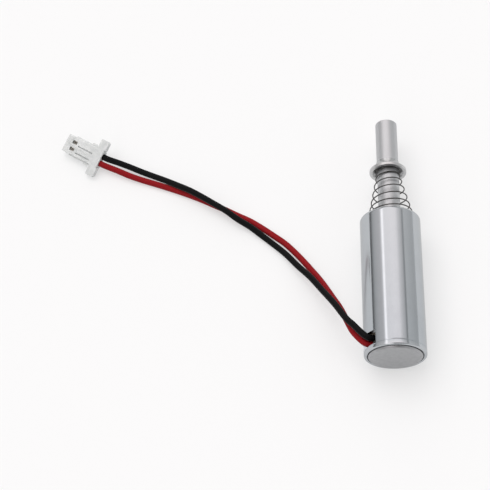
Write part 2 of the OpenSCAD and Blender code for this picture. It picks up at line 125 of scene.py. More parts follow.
class Graph:
    """A node tree with short ways to add nodes and join them."""

    def __init__(self, tree: bpy.types.NodeTree) -> None:
        """Empties the tree and keeps it."""
        self.tree = tree
        tree.nodes.clear()

    def add(self, kind: str, values: Mapping[str | int, object] | None = None,
            **settings: object) -> bpy.types.Node:
        """Adds a node.

        Args:
            kind: the node's type.
            values: for each input, a socket to join or a value to set.
            settings: the node's own properties.

        Returns:
            The new node.
        """
        node = self.tree.nodes.new(kind)
        for name, value in settings.items():
            setattr(node, name, value)
        for key, value in (values or {}).items():
            if isinstance(value, bpy.types.NodeSocket):
                self.tree.links.new(value, node.inputs[key])
            else:
                node.inputs[key].default_value = value
        return node

    def math(self, operation: str, first: Socket | float, second: Socket | float = 0.0) -> Socket:
        """Joins a Math node to two values and returns its result."""
        return self.add("ShaderNodeMath", {0: first, 1: second}, operation=operation).outputs[0]

    def span(self, value: Socket, low: float, high: float, to_low: float = 0.0,
             to_high: float = 1.0) -> Socket:
        """Maps a value from one range to another, held at both ends."""
        node = self.add("ShaderNodeMapRange", {"Value": value, "From Min": low, "From Max": high,
                                               "To Min": to_low, "To Max": to_high})
        return node.outputs["Result"]

    def mix(self, share: Socket | float, first: Socket | Color, second: Socket | Color) -> Socket:
        """Mixes two colours by a share and returns the colour."""
        first, second = (end if isinstance(end, bpy.types.NodeSocket) else (*end, 1.0)
                         for end in (first, second))
        node = self.add("ShaderNodeMix", {0: share, 6: first, 7: second}, data_type="RGBA")
        return node.outputs[2]

    def surface(self, shader: bpy.types.Node, tone: Socket, rough: Socket, normal: Socket) -> None:
        """Joins a surface's colour, roughness and normal to its shader."""
        for name, value in (("Base Color", tone), ("Roughness", rough), ("Normal", normal)):
            self.tree.links.new(value, shader.inputs[name])

    def place(self, marks: Sequence[float], source: str = "Object") -> Socket:
        """Gives the piece's own coordinates, scaled to so many marks per millimetre each way.

        Args:
            marks: marks per millimetre along x, y and z.
            source: the output of Texture Coordinate to start from.

        Returns:
            The scaled coordinates.
        """
        coords = self.add("ShaderNodeTexCoord")
        scale = [m / MM for m in marks] if source == "Object" else list(marks)
        mapping = self.add("ShaderNodeMapping", {"Vector": coords.outputs[source], "Scale": scale})
        return mapping.outputs["Vector"]

    def noise(self, vector: Socket, detail: float = 3.0, rough: float = 0.5,
              twist: float = 0.0) -> Socket:
        """Adds noise of unit scale on some coordinates and returns its height."""
        node = self.add("ShaderNodeTexNoise", {"Vector": vector, "Scale": 1.0, "Detail": detail,
                                               "Roughness": rough, "Distortion": twist})
        return node.outputs[0]

    def bump(self, height: Socket, depth: float, under: Socket | None = None) -> Socket:
        """Adds a Bump node over another one.

        Args:
            height: the height, from 0 to 1.
            depth: what a height of 1 stands for, in metres.
            under: the normal of the bump below, if there is one.

        Returns:
            The bent normal.
        """
        values: dict[str | int, object] = {"Height": height, "Distance": depth, "Strength": 1.0}
        if under is not None:
            values["Normal"] = under
        return self.add("ShaderNodeBump", values).outputs["Normal"]


@dataclass(frozen=True)
class Finish:
    """The base of every finish: its name and a way to make its material once."""

    name: str

    def material(self) -> bpy.types.Material:
        """Returns the finish's material, made at its first use."""
        found = bpy.data.materials.get(self.name)
        if found is not None:
            return found
        made = bpy.data.materials.new(self.name)
        made.use_nodes = True
        graph = Graph(made.node_tree)
        shader = graph.add("ShaderNodeBsdfPrincipled")
        graph.add("ShaderNodeOutputMaterial", {"Surface": shader.outputs[0]})
        self.paint(graph, shader)
        return made

    def paint(self, graph: Graph, shader: bpy.types.Node) -> None:
        """Joins the finish's own nodes to the shader; each kind of finish has its own."""
        raise NotImplementedError


def sockets(shader: bpy.types.Node, values: Mapping[str, object]) -> None:
    """Sets constants on the shader's own sockets."""
    for key, value in values.items():
        shader.inputs[key].default_value = value


@dataclass(frozen=True)
class Metal(Finish):
    """A metal with a grain, broad unevenness, dulled patches and bright worn edges.

    Attributes:
        tone: reflectance of the clean surface.
        dull: reflectance of its dulled patches.
        worn: reflectance along worn edges.
        rim: tint of what the metal mirrors at a low angle.
        roughness: roughness of the clean surface.
        spread: how much roughness the patches add.
        grain: how the fine marks run.
        grain_depth: depth of the fine marks, in metres.
        wave_depth: depth of the broad unevenness, in metres.
    """

    tone: Color = (0.5, 0.5, 0.5)
    dull: Color = (0.42, 0.42, 0.42)
    worn: Color = (0.62, 0.62, 0.62)
    rim: Color = (0.9, 0.9, 0.9)
    roughness: float = 0.2
    spread: float = 0.1
    grain: Grain = Grain.EVEN
    grain_depth: float = 0.4e-6
    wave_depth: float = 6e-6

    def paint(self, graph: Graph, shader: bpy.types.Node) -> None:
        """Builds patches, worn edges, roughness, grain and broad unevenness."""
        patch = graph.noise(graph.place(PATCHES), detail=5.0, rough=0.6, twist=0.6)
        specks = graph.noise(graph.place(PITS), detail=2.0)
        fine = graph.noise(graph.place(self.grain.value), detail=4.0, rough=0.62)
        broad = graph.noise(graph.place(UNEVEN), detail=1.0)
        edge = graph.add("ShaderNodeAttribute", attribute_name="edge").outputs["Fac"]
        dulled = graph.span(patch, 0.42, 0.75, 0.0, 0.8)
        tone = graph.mix(dulled, self.tone, self.dull)
        pitted = graph.span(specks, 0.68, 0.8, 0.0, 0.35)
        tone = graph.mix(pitted, tone, self.dull)
        tone = graph.mix(graph.math("MULTIPLY", edge, 0.6), tone, self.worn)
        rough = graph.span(patch, 0.35, 0.75, self.roughness, self.roughness + self.spread)
        rough = graph.math("ADD", rough, graph.span(fine, 0.3, 0.7, -0.2 * self.spread,
                                                    0.3 * self.spread))
        rough = graph.math("ADD", rough, graph.math("MULTIPLY", edge, 0.03))
        wave = graph.bump(broad, self.wave_depth)
        normal = graph.bump(fine, self.grain_depth, wave)
        graph.surface(shader, tone, rough, normal)
        sockets(shader, {"Metallic": 1.0, "Specular Tint": (*self.rim, 1.0)})


@dataclass(frozen=True)
class Faced(Finish):
    """A flat metal face with fine rings round the axis, mottled, as a stamped and plated disc.

    Attributes:
        tone: reflectance of the clean face.
        dull: reflectance of its mottling.
        roughness: roughness of the face.
        height: height of the axis above z = 0, round which the rings run.
    """

    tone: Color = (0.385, 0.39, 0.4)
    dull: Color = (0.35, 0.355, 0.365)
    roughness: float = 0.34
    height: float = 5 * MM

    def paint(self, graph: Graph, shader: bpy.types.Node) -> None:
        """Builds the rings, the mottling and small pits."""
        coords = graph.add("ShaderNodeTexCoord").outputs["Object"]
        centred = graph.add("ShaderNodeVectorMath",
                            {0: coords, 1: (0.0, 0.0, self.height)}, operation="SUBTRACT")
        flat = graph.add("ShaderNodeVectorMath",
                         {0: centred.outputs[0], 1: (1.0, 0.0, 1.0)}, operation="MULTIPLY")
        away = graph.add("ShaderNodeVectorMath", {0: flat.outputs[0]}, operation="LENGTH")
        ring = graph.add("ShaderNodeCombineXYZ", {0: away.outputs["Value"]})
        marks = graph.add("ShaderNodeMapping", {"Vector": ring.outputs[0],
                                                "Scale": (11.0 / MM, 1.0, 1.0)})
        rings = graph.noise(marks.outputs[0], detail=3.0)
        mottle = graph.noise(graph.place((1.6, 1.6, 1.6)), detail=6.0, rough=0.65)
        pits = graph.noise(graph.place((12.0, 12.0, 12.0)), detail=2.0)
        tone = graph.mix(graph.span(mottle, 0.35, 0.7), self.tone, self.dull)
        rough = graph.span(mottle, 0.3, 0.7, self.roughness - 0.05, self.roughness + 0.08)
        low = graph.bump(mottle, 2.5e-6)
        mid = graph.bump(rings, 0.6e-6, low)
        normal = graph.bump(graph.span(pits, 0.55, 0.75, 1.0, 0.0), 1.2e-6, mid)
        graph.surface(shader, tone, rough, normal)
        sockets(shader, {"Metallic": 1.0})


@dataclass(frozen=True)
class Insulation(Finish):
    """Extruded vinyl over a stranded wire: fine lines along the lead, dust, slight sheen.

    Attributes:
        tone: colour of the vinyl.
        scuffed: colour where it is rubbed.
        roughness: roughness of the skin.
    """

    tone: Color = (0.0025, 0.0028, 0.003)
    scuffed: Color = (0.007, 0.0075, 0.008)
    roughness: float = 0.5

    def paint(self, graph: Graph, shader: bpy.types.Node) -> None:
        """Builds the extrusion lines, the strands that show through, and scuffs."""
        lines = graph.noise(graph.place((26.0, 0.35, 1.0), "UV"), detail=4.0, rough=0.6)
        strands = graph.noise(graph.place((5.0, 1.4, 1.0), "UV"), detail=1.0, twist=0.4)
        scuffs = graph.noise(graph.place((1.2, 1.2, 1.2)), detail=7.0, rough=0.72)
        tone = graph.mix(graph.span(scuffs, 0.52, 0.78), self.tone, self.scuffed)
        rough = graph.span(scuffs, 0.3, 0.7, self.roughness - 0.06, self.roughness + 0.14)
        low = graph.bump(strands, 9e-6)
        normal = graph.bump(lines, 2.2e-6, low)
        graph.surface(shader, tone, rough, normal)
        sockets(shader, {"Specular IOR Level": 0.1, "Coat Weight": 0.01, "Coat Roughness": 0.3})


@dataclass(frozen=True)
class Moulded(Finish):
    """A moulded plastic that light enters: faint flow marks, a fine eroded skin, dulled corners.

    Attributes:
        tone: colour of the plastic.
        deep: colour of its thicker, greyer places.
        roughness: roughness of the skin.
        inside: how much of the light enters the plastic.
    """

    tone: Color = (0.665, 0.685, 0.68)
    deep: Color = (0.56, 0.585, 0.58)
    roughness: float = 0.36
    inside: float = 0.35

    def paint(self, graph: Graph, shader: bpy.types.Node) -> None:
        """Builds the flow marks, the skin and the cloudiness."""
        cloud = graph.noise(graph.place((0.7, 0.5, 0.7)), detail=4.0, rough=0.55, twist=0.8)
        skin = graph.noise(graph.place((16.0, 16.0, 16.0)), detail=3.0)
        flow = graph.noise(graph.place((1.8, 1.1, 1.8)), detail=2.0, twist=1.6)
        tone = graph.mix(graph.span(cloud, 0.35, 0.7), self.tone, self.deep)
        rough = graph.span(cloud, 0.3, 0.7, self.roughness - 0.05, self.roughness + 0.1)
        low = graph.bump(flow, 5e-6)
        normal = graph.bump(skin, 0.9e-6, low)
        graph.surface(shader, tone, rough, normal)
        sockets(shader, {"Subsurface Weight": self.inside, "Subsurface Scale": 0.5 * MM,
                         "Subsurface Radius": (1.0, 1.0, 0.95), "IOR": 1.52})


@dataclass(frozen=True)
class Fibrous(Finish):
    """A pressed fibre sheet or a wound tape: short fibres one way, mottled tone.

    Attributes:
        tone: main colour.
        fleck: colour of the flecks.
        marks: marks per millimetre along x, y and z.
        roughness: roughness of the surface.
    """

    tone: Color = (0.3, 0.1, 0.05)
    fleck: Color = (0.16, 0.05, 0.03)
    marks: tuple[float, float, float] = (8.0, 8.0, 2.0)
    roughness: float = 0.6

    def paint(self, graph: Graph, shader: bpy.types.Node) -> None:
        """Builds the fibres and the mottling."""
        fibres = graph.noise(graph.place(self.marks), detail=5.0, rough=0.7, twist=0.5)
        mottle = graph.noise(graph.place((0.9, 0.9, 0.9)), detail=3.0)
        tone = graph.mix(graph.span(fibres, 0.4, 0.66), self.tone, self.fleck)
        tone = graph.mix(graph.span(mottle, 0.35, 0.7, 0.0, 0.4), tone, self.fleck)
        rough = graph.span(mottle, 0.3, 0.7, self.roughness - 0.08, self.roughness + 0.1)
        normal = graph.bump(fibres, 6e-6)
        graph.surface(shader, tone, rough, normal)
        sockets(shader, {"Specular IOR Level": 0.4})


@dataclass(frozen=True)
class Wound(Finish):
    """Enamelled magnet wire in close turns along the axis.

    Attributes:
        tone: colour of the enamelled copper.
        gap: colour between the turns.
        turns: turns per millimetre.
    """

    tone: Color = (0.62, 0.22, 0.07)
    gap: Color = (0.2, 0.05, 0.02)
    turns: float = 7.5

    def paint(self, graph: Graph, shader: bpy.types.Node) -> None:
        """Builds the turns and the enamel's depth of tone."""
        wave = graph.add("ShaderNodeTexWave", {"Vector": graph.place((1.0, self.turns / 1.6, 1.0)),
                                               "Scale": 1.6, "Distortion": 0.7, "Detail": 1.0},
                         bands_direction="Y")
        turn = wave.outputs["Fac"]
        tint = graph.noise(graph.place((0.8, 3.0, 0.8)), detail=2.0)
        tone = graph.mix(graph.span(turn, 0.0, 0.45), self.gap, self.tone)
        tone = graph.mix(graph.span(tint, 0.4, 0.7, 0.0, 0.5), tone, self.gap)
        rough = graph.span(tint, 0.3, 0.7, 0.2, 0.32)
        normal = graph.bump(turn, 40e-6)
        graph.surface(shader, tone, rough, normal)
        sockets(shader, {"Metallic": 0.7, "Coat Weight": 0.6, "Coat Roughness": 0.15})


@dataclass(frozen=True)
class Paper(Finish):
    """The plain pale table top, lit through from below.

    Attributes:
        tone: colour of the paper.
        tooth: colour of its tooth.
        glow: colour of the light that comes through it.
    """

    tone: Color = (0.4, 0.405, 0.405)
    tooth: Color = (0.36, 0.36, 0.36)
    glow: Color = (0.5, 0.5, 0.5)

    def paint(self, graph: Graph, shader: bpy.types.Node) -> None:
        """Builds a faint tooth and an even tone."""
        tooth = graph.noise(graph.place((2.0, 2.0, 2.0)), detail=4.0)
        tone = graph.mix(graph.span(tooth, 0.3, 0.7, 0.0, 0.02), self.tone, self.tooth)
        graph.tree.links.new(tone, shader.inputs["Base Color"])
        graph.tree.links.new(graph.bump(tooth, 2e-6), shader.inputs["Normal"])
        sockets(shader, {"Roughness": 0.9, "Specular IOR Level": 0.15,
                         "Emission Color": (*self.glow, 1.0), "Emission Strength": 1.0})


CAN_PLATE = Metal("can_plate", tone=(0.452, 0.48, 0.506), dull=(0.42, 0.446, 0.47),
                  worn=(0.52, 0.54, 0.56), rim=(0.8, 0.8, 0.8), roughness=0.085, spread=0.05,
                  grain=Grain.DRAWN, grain_depth=0.35e-6, wave_depth=9e-6)
ROD_STEEL = Metal("rod_steel", tone=(0.435, 0.462, 0.492), dull=(0.4, 0.424, 0.45),
                  rim=(0.85, 0.85, 0.85), roughness=0.4, spread=0.05, grain=Grain.TURNED,
                  grain_depth=0.2e-6, wave_depth=2e-6)
COLLAR_STEEL = Metal("collar_steel", tone=(0.49, 0.5, 0.505), dull=(0.42, 0.43, 0.44),
                     roughness=0.22, spread=0.1, grain=Grain.FINE, grain_depth=0.6e-6,
                     wave_depth=3e-6)
SPRING_STEEL = Metal("spring_steel", tone=(0.11, 0.108, 0.106), dull=(0.08, 0.078, 0.077),
                     worn=(0.2, 0.195, 0.19), roughness=0.3, spread=0.12, grain=Grain.FINE,
                     grain_depth=0.4e-6, wave_depth=0.5e-6)
POLE_STEEL = Metal("pole_steel", tone=(0.42, 0.42, 0.42), dull=(0.3, 0.3, 0.3), roughness=0.3,
                   spread=0.12, grain=Grain.TURNED)
BUSH_BRONZE = Metal("bush_bronze", tone=(0.6, 0.38, 0.2), dull=(0.36, 0.2, 0.1),
                    worn=(0.75, 0.52, 0.3), roughness=0.36, spread=0.16, grain=Grain.FINE,
                    grain_depth=2e-6, wave_depth=2e-6)
TUBE_BRASS = Metal("tube_brass", tone=(0.78, 0.56, 0.25), dull=(0.5, 0.33, 0.13),
                   worn=(0.88, 0.7, 0.4), roughness=0.22, spread=0.12, grain=Grain.DRAWN)
PIN_TIN = Metal("pin_tin", tone=(0.72, 0.71, 0.68), dull=(0.5, 0.49, 0.47), roughness=0.28,
                spread=0.12, grain=Grain.EVEN)
JOINT_SOLDER = Metal("joint_solder", tone=(0.66, 0.66, 0.64), dull=(0.36, 0.36, 0.35),
                     roughness=0.24, spread=0.2, grain=Grain.EVEN, grain_depth=3e-6,
                     wave_depth=30e-6)
CONTACT_TIN = Metal("contact_tin", tone=(0.5, 0.48, 0.44), dull=(0.3, 0.28, 0.25),
                    worn=(0.7, 0.64, 0.5), roughness=0.25, spread=0.14, grain=Grain.EVEN,
                    grain_depth=1e-6, wave_depth=3e-6)
DISC_FACE = Faced("disc_face")
BLACK_VINYL = Insulation("black_vinyl")
RED_VINYL = Insulation("red_vinyl", tone=(0.235, 0.006, 0.009), scuffed=(0.28, 0.012, 0.015),
                       roughness=0.45)
PLUG_NYLON = Moulded("plug_nylon")
BOBBIN_NYLON = Moulded("bobbin_nylon", tone=(0.5, 0.47, 0.38), deep=(0.36, 0.33, 0.26),
                       roughness=0.45, inside=0.1)
WASHER_FIBRE = Fibrous("washer_fibre")
COIL_TAPE = Fibrous("coil_tape", tone=(0.72, 0.5, 0.08), fleck=(0.55, 0.34, 0.04),
                    marks=(0.5, 6.0, 0.5), roughness=0.28)
COIL_WIRE = Wound("coil_wire")
TABLE_PAPER = Paper("table_paper")


@dataclass(frozen=True)
class Axis:
    """Where the solenoid's axis lies.

    Attributes:
        height: height of the axis above z = 0.
        rear: y of the rear rim of the case.
    """

    height: float
    rear: float

    @classmethod
    def of_case(cls) -> "Axis":
        """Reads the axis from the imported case."""
        low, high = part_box("case")
        return cls((low.z + high.z) / 2, low.y)

    def at(self, radius: float, station: float, angle: float) -> Vector:
        """Gives the point at a radius, a station and an angle from the top towards -X."""
        return Vector((-radius * math.sin(angle), self.rear + station,
                       self.height + radius * math.cos(angle)))

    def station(self, y: float) -> float:
        """Gives the station of a place along Y."""
        return y - self.rear


def soften(corners: Sequence[Corner], closed: bool, steps: int = 4) -> list[Corner]:
    """Rounds the corners of a turned profile.

    Args:
        corners: radius, station and rounding of each corner, in order.
        closed: whether the profile joins up with its own start.
        steps: faces along each rounded corner.

    Returns:
        Radius, station and edge mark (1 on a rounded corner) of each point.
    """
    points: list[Corner] = []
    count = len(corners)
    for i, (radius, station, rounding) in enumerate(corners):
        if rounding <= 0 or (not closed and i in (0, count - 1)):
            points.append((radius, station, 0.0))
            continue
        here = Vector((radius, station))
        back = Vector(corners[i - 1][:2]) - here
        ahead = Vector(corners[(i + 1) % count][:2]) - here
        half = back.angle(ahead) / 2
        reach = min(rounding / math.tan(half), SIDE_SHARE * back.length, SIDE_SHARE * ahead.length)
        inward = (back.normalized() + ahead.normalized()).normalized()
        centre = here + inward * reach / math.cos(half)
        start = here + back.normalized() * reach - centre
        end = here + ahead.normalized() * reach - centre
        first = math.atan2(start.y, start.x)
        arc = math.remainder(math.atan2(end.y, end.x) - first, 2 * math.pi)
        for k in range(steps + 1):
            turned = first + arc * k / steps
            points.append((centre.x + start.length * math.cos(turned),
                           centre.y + start.length * math.sin(turned), 1.0))
    return points


def turn(mesh: bmesh.types.BMesh, axis: Axis, profile: Sequence[Corner], closed: bool,
         segments: int = TURN_FACES, skip: Callable[[int, int], bool] | None = None
         ) -> list[list[bmesh.types.BMVert]]:
    """Turns a profile round the axis.

    Args:
        mesh: the mesh to build in.
        axis: the axis.
        profile: radius, station and edge mark of each point.
        closed: whether the profile joins up with its own start.
        segments: faces round the axis.
        skip: tells which faces to leave out, by place in the profile and round the axis.

    Returns:
        The ring of vertices of each point; a point on the axis has one vertex.
    """
    layer = mesh.verts.layers.float.get("edge") or mesh.verts.layers.float.new("edge")
    rings = []
    for radius, station, mark in profile:
        count = segments if radius > 1e-7 else 1
        ring = [mesh.verts.new(axis.at(radius, station, 2 * math.pi * k / segments))
                for k in range(count)]
        for vert in ring:
            vert[layer] = mark
        rings.append(ring)
    for i in range(len(rings) if closed else len(rings) - 1):
        a, b = rings[i], rings[(i + 1) % len(rings)]
        for k in range(segments):
            if skip is not None and skip(i, k):
                continue
            n = (k + 1) % segments
            corners = [a[k % len(a)], a[n % len(a)], b[n % len(b)], b[k % len(b)]]
            unique = list(dict.fromkeys(corners))
            if len(unique) > 2:
                mesh.faces.new(unique)
    return rings


def to_piece(mesh: bmesh.types.BMesh, name: str, sharp: float = 35.0) -> bpy.types.Object:
    """Makes a piece of a finished mesh, smooth but for its sharp edges.

    Args:
        mesh: the mesh, which is freed.
        name: the piece's name.
        sharp: the angle in degrees from which an edge is sharp.

    Returns:
        The new object.
    """
    bmesh.ops.recalc_face_normals(mesh, faces=mesh.faces)
    data = bpy.data.meshes.new(name)
    mesh.to_mesh(data)
    mesh.free()
    data.shade_smooth()
    data.set_sharp_from_angle(angle=math.radians(sharp))
    piece = bpy.data.objects.new(name, data)
    bpy.context.scene.collection.objects.link(piece)
    modifier = piece.modifiers.new("even_normals", "WEIGHTED_NORMAL")
    modifier.keep_sharp = True
    return piece


def turned_piece(name: str, axis: Axis, corners: Sequence[Corner], closed: bool,
                 segments: int = TURN_FACES) -> bpy.types.Object:
    """Builds a piece by turning a profile with rounded corners round the axis."""
    mesh = bmesh.new()
    turn(mesh, axis, soften(corners, closed), closed, segments)
    return to_piece(mesh, name)


def dress(piece: bpy.types.Object, finish: Finish, body: Body, slot: Slot,
          *nodes: str) -> bpy.types.Object:
    """Gives a piece its finish and its body, and hides the CAD nodes that it stands for.

    Args:
        piece: the piece, in place.
        finish: its finish.
        body: the body that it rides on.
        slot: the record's material slot; not used.
        nodes: the CAD nodes that it replaces.

    Returns:
        The piece.
    """
    piece.data.materials.clear()
    piece.data.materials.append(finish.material())
    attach(piece, body.value)
    if nodes:
        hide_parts(*nodes)
    LOG.info("built %s in %s on %s", piece.name, finish.name, body.value)
    return piece


def smooth_path(points: Sequence[Vector], steps: int) -> list[Vector]:
    """Draws a smooth line through points.

    Args:
        points: the points, in order.
        steps: pieces of line between two points.

    Returns:
        The points of the smooth line.
    """
    ends = [2 * points[0] - points[1], *points, 2 * points[-1] - points[-2]]
    line = []
    for i in range(1, len(ends) - 2):
        a, b, c, d = ends[i - 1:i + 3]
        for k in range(steps):
            t = k / steps
            line.append(0.5 * (2 * b + (c - a) * t + (2 * a - 5 * b + 4 * c - d) * t * t
                               + (3 * b - a - 3 * c + d) * t * t * t))
    line.append(points[-1].copy())
    return line


def sweep(mesh: bmesh.types.BMesh, path: Sequence[Vector], radius: Callable[[float], float],
          sides: int) -> None:
    """Sweeps a round section along a path, with closed ends and coordinates along it.

    Args:
        mesh: the mesh to build in.
        path: the centre line.
        radius: the radius at a distance along the path.
        sides: faces round the section.
    """
    layer = mesh.loops.layers.uv.get("along") or mesh.loops.layers.uv.new("along")
    side = (path[1] - path[0]).orthogonal().normalized()
    rings, lengths, length = [], [], 0.0
    for i, here in enumerate(path):
        ahead = (path[min(i + 1, len(path) - 1)] - path[max(i - 1, 0)]).normalized()
        side = (side - ahead * side.dot(ahead)).normalized()
        other = ahead.cross(side)
        if i:
            length += (here - path[i - 1]).length
        reach = radius(length)
        rings.append([mesh.verts.new(here + reach * (math.cos(a) * side + math.sin(a) * other))
                      for a in (2 * math.pi * k / sides for k in range(sides))])
        lengths.append(length / MM)
    for i in range(len(rings) - 1):
        for k in range(sides):
            n = (k + 1) % sides
            face = mesh.faces.new((rings[i][k], rings[i][n], rings[i + 1][n], rings[i + 1][k]))
            places = ((k, i), (k + 1, i), (k + 1, i + 1), (k, i + 1))
            for loop, (across, along) in zip(face.loops, places):
                loop[layer].uv = (across / sides, lengths[along])
    mesh.faces.new(reversed(rings[0]))
    mesh.faces.new(rings[-1])


@dataclass(frozen=True)
class Studio:
    """Camera, light and table.

    Attributes:
        target: the point that the camera looks at.
        azimuth: the camera's turn round the part, in degrees.
        elevation: the camera's height above the horizon, in degrees.
        distance: the camera's distance from the target.
        lens: focal length on a 36 mm wide sensor, in millimetres.
        bands: brightness of the surroundings and the share of red in it, by angle round the Y
            axis in degrees from the top towards +X.
        lens_shade: middle, half width and soft edge, in degrees, of the dark room round the
            lens, and the share of the light that it takes away.
        lens_reach: where along Y the dark room starts and where it is full.
        key: strength of the soft key light.
        key_width: how wide the key light looks, in degrees.
        key_tilt: its tilt round X and round Y, in degrees.
        table_half: half the side of the table top.
    """

    target: Point = (-23.98 * MM, -1.77 * MM, 5 * MM)
    azimuth: float = 0.717
    elevation: float = 61.63
    distance: float = 229.8 * MM
    lens: float = 102.73
    bands: tuple[tuple[float, float, float], ...] = (
        (-180, 0.8, 1.0), (-104, 0.8, 1.0), (-98, 0.3, 1.0), (-92, 0.17, 1.0), (-85, 0.17, 1.0),
        (-80, 0.45, 1.0), (-74, 0.62, 1.01), (-60, 0.72, 1.03), (-48, 0.76, 1.04),
        (-42, 1.0, 1.05), (-39, 1.85, 1.05), (-34, 1.85, 1.05), (-31, 1.26, 1.05),
        (0, 1.32, 1.06), (14, 1.26, 1.06), (24, 0.95, 1.04), (36, 0.7, 1.02), (39.5, 0.39, 1.0),
        (42, 0.39, 1.0), (45, 0.78, 1.0), (60, 0.72, 1.0), (80, 0.64, 1.0), (92, 0.68, 1.0),
        (110, 0.75, 1.0), (180, 0.8, 1.0))
    lens_shade: tuple[float, float, float, float] = (8.0, 24.0, 8.0, 0.85)
    lens_reach: tuple[float, float] = (-0.1, -0.2)
    key: float = 0.95
    key_width: float = 50.0
    key_tilt: tuple[float, float] = (-18.0, -22.0)
    table_half: float = 2.0

    def camera(self) -> bpy.types.Object:
        """Places the camera and makes it the scene's own."""
        turn_, rise = math.radians(self.azimuth), math.radians(self.elevation)
        back = Vector((math.sin(turn_) * math.cos(rise), -math.cos(turn_) * math.cos(rise),
                       math.sin(rise)))
        data = bpy.data.cameras.new("camera")
        data.lens, data.sensor_width = self.lens, 36.0
        data.clip_start, data.clip_end = 10 * MM, 10.0
        piece = bpy.data.objects.new("camera", data)
        piece.location = Vector(self.target) + back * self.distance
        piece.rotation_mode = "QUATERNION"
        piece.rotation_quaternion = (-back).to_track_quat("-Z", "Y")
        bpy.context.scene.collection.objects.link(piece)
        bpy.context.scene.camera = piece
        return piece

    def surroundings(self) -> None:
        """Builds the studio's long soft boxes and dark gaps as a world that runs along Y."""
        world = bpy.data.worlds.new("studio")
        world.use_nodes = True
        bpy.context.scene.world = world
        graph = Graph(world.node_tree)
        split = graph.add("ShaderNodeSeparateXYZ",
                          {0: graph.add("ShaderNodeTexCoord").outputs["Generated"]})
        x, y, z = split.outputs[0], split.outputs[1], split.outputs[2]
        angle = graph.math("ARCTAN2", x, z)
        ramp = graph.add("ShaderNodeValToRGB", {0: graph.span(angle, -math.pi, math.pi, 0.0, 1.0)})
        points = ramp.color_ramp.elements
        top = max(level * red for _, level, red in self.bands)
        for degrees, _, _ in self.bands[1:-1]:
            points.new((degrees + 180) / 360)
        for point, (_, level, red) in zip(points, self.bands):
            point.color = (level * red / top, level / top, level / top, 1.0)
        middle, half, soft, share = self.lens_shade
        behind = graph.span(y, *self.lens_reach, 0.0, share)
        off = graph.math("ABSOLUTE", graph.math("SUBTRACT", angle, math.radians(middle)))
        near = graph.span(off, math.radians(half - soft), math.radians(half + soft), 1.0, 0.0)
        left = graph.math("SUBTRACT", 1.0, graph.math("MULTIPLY", behind, near))
        light = graph.add("ShaderNodeBackground", {"Color": ramp.outputs[0],
                                                   "Strength": graph.math("MULTIPLY", left, top)})
        plain = graph.add("ShaderNodeBackground", {"Color": (0.86, 0.86, 0.86, 1.0)})
        seen = graph.add("ShaderNodeLightPath").outputs["Is Camera Ray"]
        both = graph.add("ShaderNodeMixShader", {0: seen, 1: light.outputs[0], 2: plain.outputs[0]})
        graph.add("ShaderNodeOutputWorld", {"Surface": both.outputs[0]})

    def light(self) -> None:
        """Adds the wide soft key light, which lights but isn't mirrored."""
        data = bpy.data.lights.new("key", "SUN")
        data.energy, data.angle = self.key, math.radians(self.key_width)
        piece = bpy.data.objects.new("key", data)
        piece.rotation_euler = (*map(math.radians, self.key_tilt), 0.0)
        piece.visible_glossy = False
        bpy.context.scene.collection.objects.link(piece)

    def table(self) -> bpy.types.Object:
        """Lays the pale table top under the part."""
        mesh = bmesh.new()
        bmesh.ops.create_grid(mesh, x_segments=24, y_segments=24, size=self.table_half)
        piece = to_piece(mesh, "table_top")
        piece.data.materials.append(TABLE_PAPER.material())
        return piece


class Way(Enum):
    """The two ways, each with its side of the plug's middle line."""

    BLACK = 1
    RED = -1


@dataclass(frozen=True)
class PlugFrame:
    """Where the plug lies, tipped on its lower edge and the tip of one wing.

    Attributes:
        nose: middle of the nose face.
        along: unit vector from the nose to the rear.
        tip: how far it is tipped round its length, in radians.
        length: length of the housing.
        middle: height of the middle of the housing over its own bottom.
        pitch: distance between the two ways.
    """

    nose: Vector
    along: Vector
    tip: float
    length: float
    middle: float
    pitch: float

    @classmethod
    def of_record(cls, plug: "Plug") -> "PlugFrame":
        """Finds the plug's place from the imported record's mount on its nose face.

        Args:
            plug: the housing and its sizes.

        Returns:
            The plug's place.
        """
        mount = next(m for m in frame["record"]["mounts"] if m["name"] == "connector_face")
        place, out = Vector(mount["pos_m"]), Vector(mount["axis"])
        width, _, thin = plug.wings
        tip = math.atan2(plug.thick - thin, (width - plug.nose) / 2)
        height = plug.nose / 2 * math.sin(tip) + plug.thick / 2 * math.cos(tip)
        return cls(Vector((place.x, place.y, height)), -out.normalized(), tip, plug.length,
                   plug.thick / 2, plug.pitch)

    def matrix(self) -> Matrix:
        """Gives the matrix from the plug's own frame, x from its nose back, to the row frame."""
        level = Vector((-self.along.y, self.along.x, 0.0))
        across = math.cos(self.tip) * level + math.sin(self.tip) * Vector((0.0, 0.0, 1.0))
        up = self.along.cross(across)
        columns = Matrix((self.along, across, up)).transposed()
        return Matrix.Translation(self.nose - self.middle * up) @ columns.to_4x4()

    def at(self, x: float, across: float, z: float) -> Vector:
        """Gives a point of the plug's own frame in the row frame."""
        return self.matrix() @ Vector((x, across, z))


